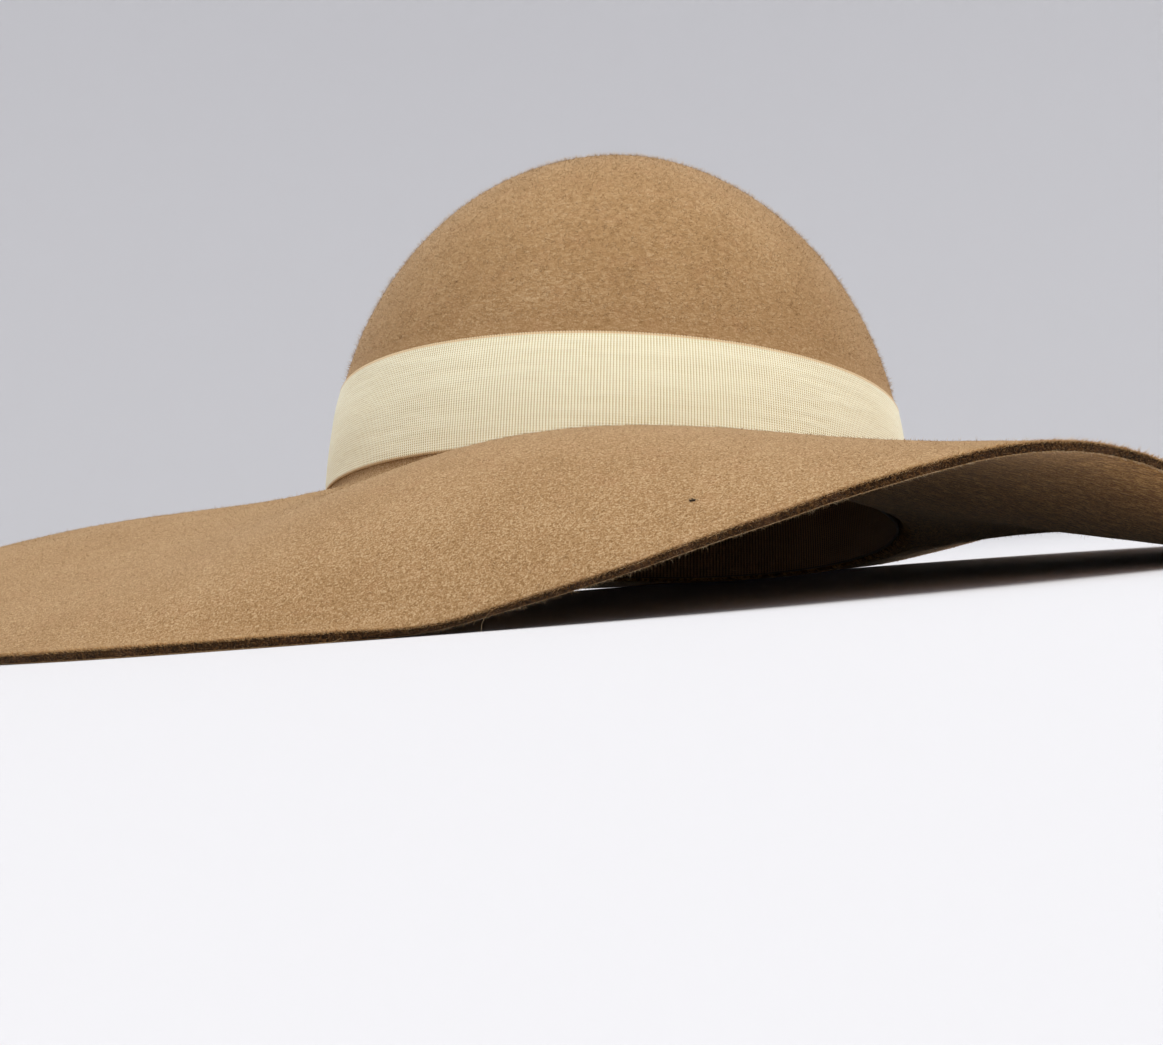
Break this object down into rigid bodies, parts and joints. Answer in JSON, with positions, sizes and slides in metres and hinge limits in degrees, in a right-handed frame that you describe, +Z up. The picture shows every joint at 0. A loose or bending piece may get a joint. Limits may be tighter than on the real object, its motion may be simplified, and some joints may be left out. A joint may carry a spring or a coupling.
{
  "type": "floppy wool hat",
  "caption": "Wide-brimmed felt hat with a round crown, a wavy brim, a ribbon round the crown and a sweatband, resting on its brim.",
  "frame": {"origin": "on the floor, below the middle of the hat's outline", "axes": "+Z up from the floor, -Y to the hat's front, +X to the right as seen from the front"},
  "size_m": [0.4148, 0.4398, 0.1298],
  "materials": {
    "wool_felt": "matt camel felt with a short nap",
    "grosgrain_ribbon": "cream ribbed ribbon with a soft sheen",
    "sweatband_tape": "smooth brown woven tape"
  },
  "bodies": {
    "root": {"felt_body": "wool_felt", "ribbon_band": "grosgrain_ribbon", "sweatband": "sweatband_tape"}
  },
  "joints": []
}
